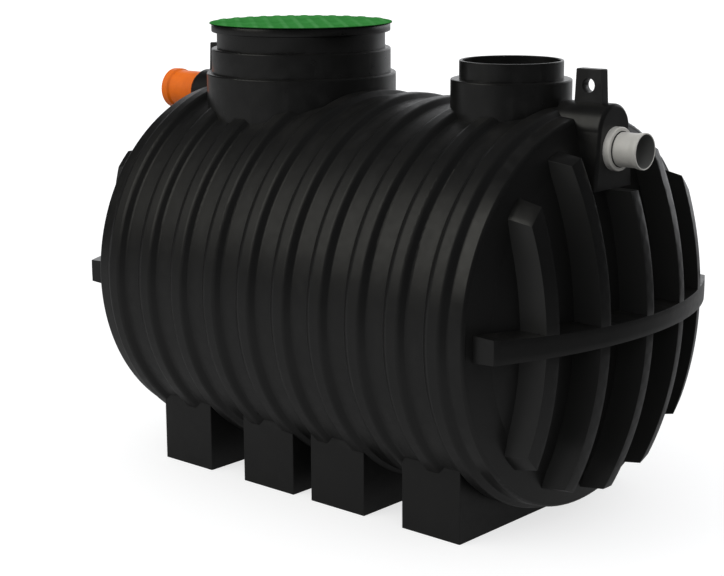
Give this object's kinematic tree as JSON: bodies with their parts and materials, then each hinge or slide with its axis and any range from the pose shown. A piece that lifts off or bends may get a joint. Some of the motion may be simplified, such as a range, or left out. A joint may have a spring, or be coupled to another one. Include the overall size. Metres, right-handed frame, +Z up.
{
  "type": "septic tank",
  "caption": "Horizontal ribbed polyethylene septic tank on saddle feet, with finned dished ends, a lidded manhole neck, an open inspection neck, lifting lugs and inlet and outlet pipes.",
  "frame": {"origin": "on the ground, under the middle of the tank", "axes": "+X along the tank from inlet to outlet, +Z up, -Y the side seen in the picture"},
  "size_m": [2.1708, 1.324, 1.5908],
  "materials": {
    "tank_black": "satin moulded",
    "lid_green": "satin moulded",
    "pipe_grey": "smooth extruded",
    "pipe_orange": "smooth extruded",
    "seal_black": "matt"
  },
  "bodies": {
    "tank": {"barrel_hoop_01": "tank_black", "barrel_hoop_02": "tank_black", "barrel_hoop_03": "tank_black", "barrel_hoop_04": "tank_black", "barrel_hoop_05": "tank_black", "barrel_hoop_06": "tank_black", "barrel_hoop_07": "tank_black", "barrel_hoop_08": "tank_black", "barrel_hoop_09": "tank_black", "barrel_hoop_10": "tank_black", "inlet_belt": "tank_black", "inlet_boss": "tank_black", "inlet_end": "tank_black", "inlet_fin_1": "tank_black", "inlet_fin_2": "tank_black", "inlet_fin_3": "tank_black", "inlet_fin_4": "tank_black", "inlet_fin_5": "tank_black", "inlet_lug": "tank_black", "inlet_pipe": "pipe_orange", "inlet_seal": "seal_black", "inspection_base": "tank_black", "inspection_rim": "tank_black", "manhole_base": "tank_black", "manhole_collar": "tank_black", "manhole_riser": "tank_black", "outlet_belt": "tank_black", "outlet_boss": "tank_black", "outlet_end": "tank_black", "outlet_fin_1": "tank_black", "outlet_fin_2": "tank_black", "outlet_fin_3": "tank_black", "outlet_fin_4": "tank_black", "outlet_fin_5": "tank_black", "outlet_lug": "tank_black", "outlet_pipe": "pipe_grey", "outlet_seal": "pipe_grey", "saddle_foot_1": "tank_black", "saddle_foot_2": "tank_black", "saddle_foot_3": "tank_black", "saddle_foot_4": "tank_black"},
    "lid": {"manhole_lid": "lid_green"}
  },
  "joints": [
    {"name": "lid_lift", "type": "slide", "parent": "tank", "child": "lid", "axis": [0, 0, 1], "range_m": [0, 0.3]}
  ]
}
